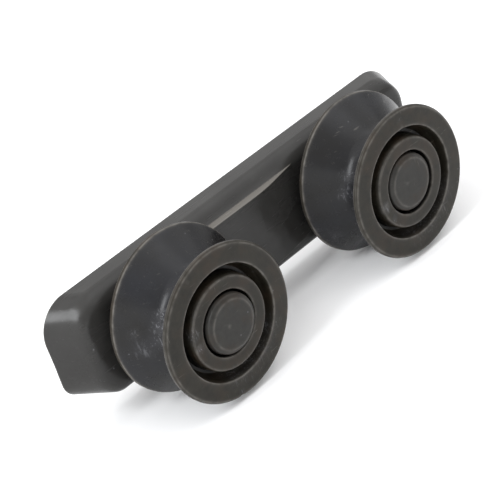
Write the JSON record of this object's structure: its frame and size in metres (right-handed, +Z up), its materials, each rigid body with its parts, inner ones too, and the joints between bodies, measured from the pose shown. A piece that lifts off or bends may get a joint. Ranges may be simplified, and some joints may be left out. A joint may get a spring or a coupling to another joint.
{
  "type": "sliding door roller",
  "caption": "Moulded door carriage with grooved wheels turning on headed pins; fastens by its flat back to a door's edge and runs on a rail bead.",
  "frame": {"origin": "on the flat back face, midway between the two axles and level with them", "axes": "+X along the carriage and the rail, +Y out of the back face, +Z up; the wheels stand out towards -Y"},
  "size_m": [0.0907, 0.0231, 0.0298],
  "materials": {
    "carriage_plastic": "satin moulded",
    "wheel_plastic": "satin moulded",
    "pin_plastic": "satin moulded"
  },
  "bodies": {
    "carriage": {"carriage_body": "carriage_plastic", "axle_pin_left": "pin_plastic", "axle_pin_right": "pin_plastic"},
    "left_wheel": {"wheel_left": "wheel_plastic"},
    "right_wheel": {"wheel_right": "wheel_plastic"}
  },
  "joints": [
    {"name": "wheel_left_spin", "type": "hinge", "parent": "carriage", "child": "left_wheel", "pos_m": [-0.0235, -0.0155, 0], "axis": [0, 1, 0], "continuous": true},
    {"name": "wheel_right_spin", "type": "hinge", "parent": "carriage", "child": "right_wheel", "pos_m": [0.0235, -0.0155, 0], "axis": [0, 1, 0], "continuous": true}
  ]
}
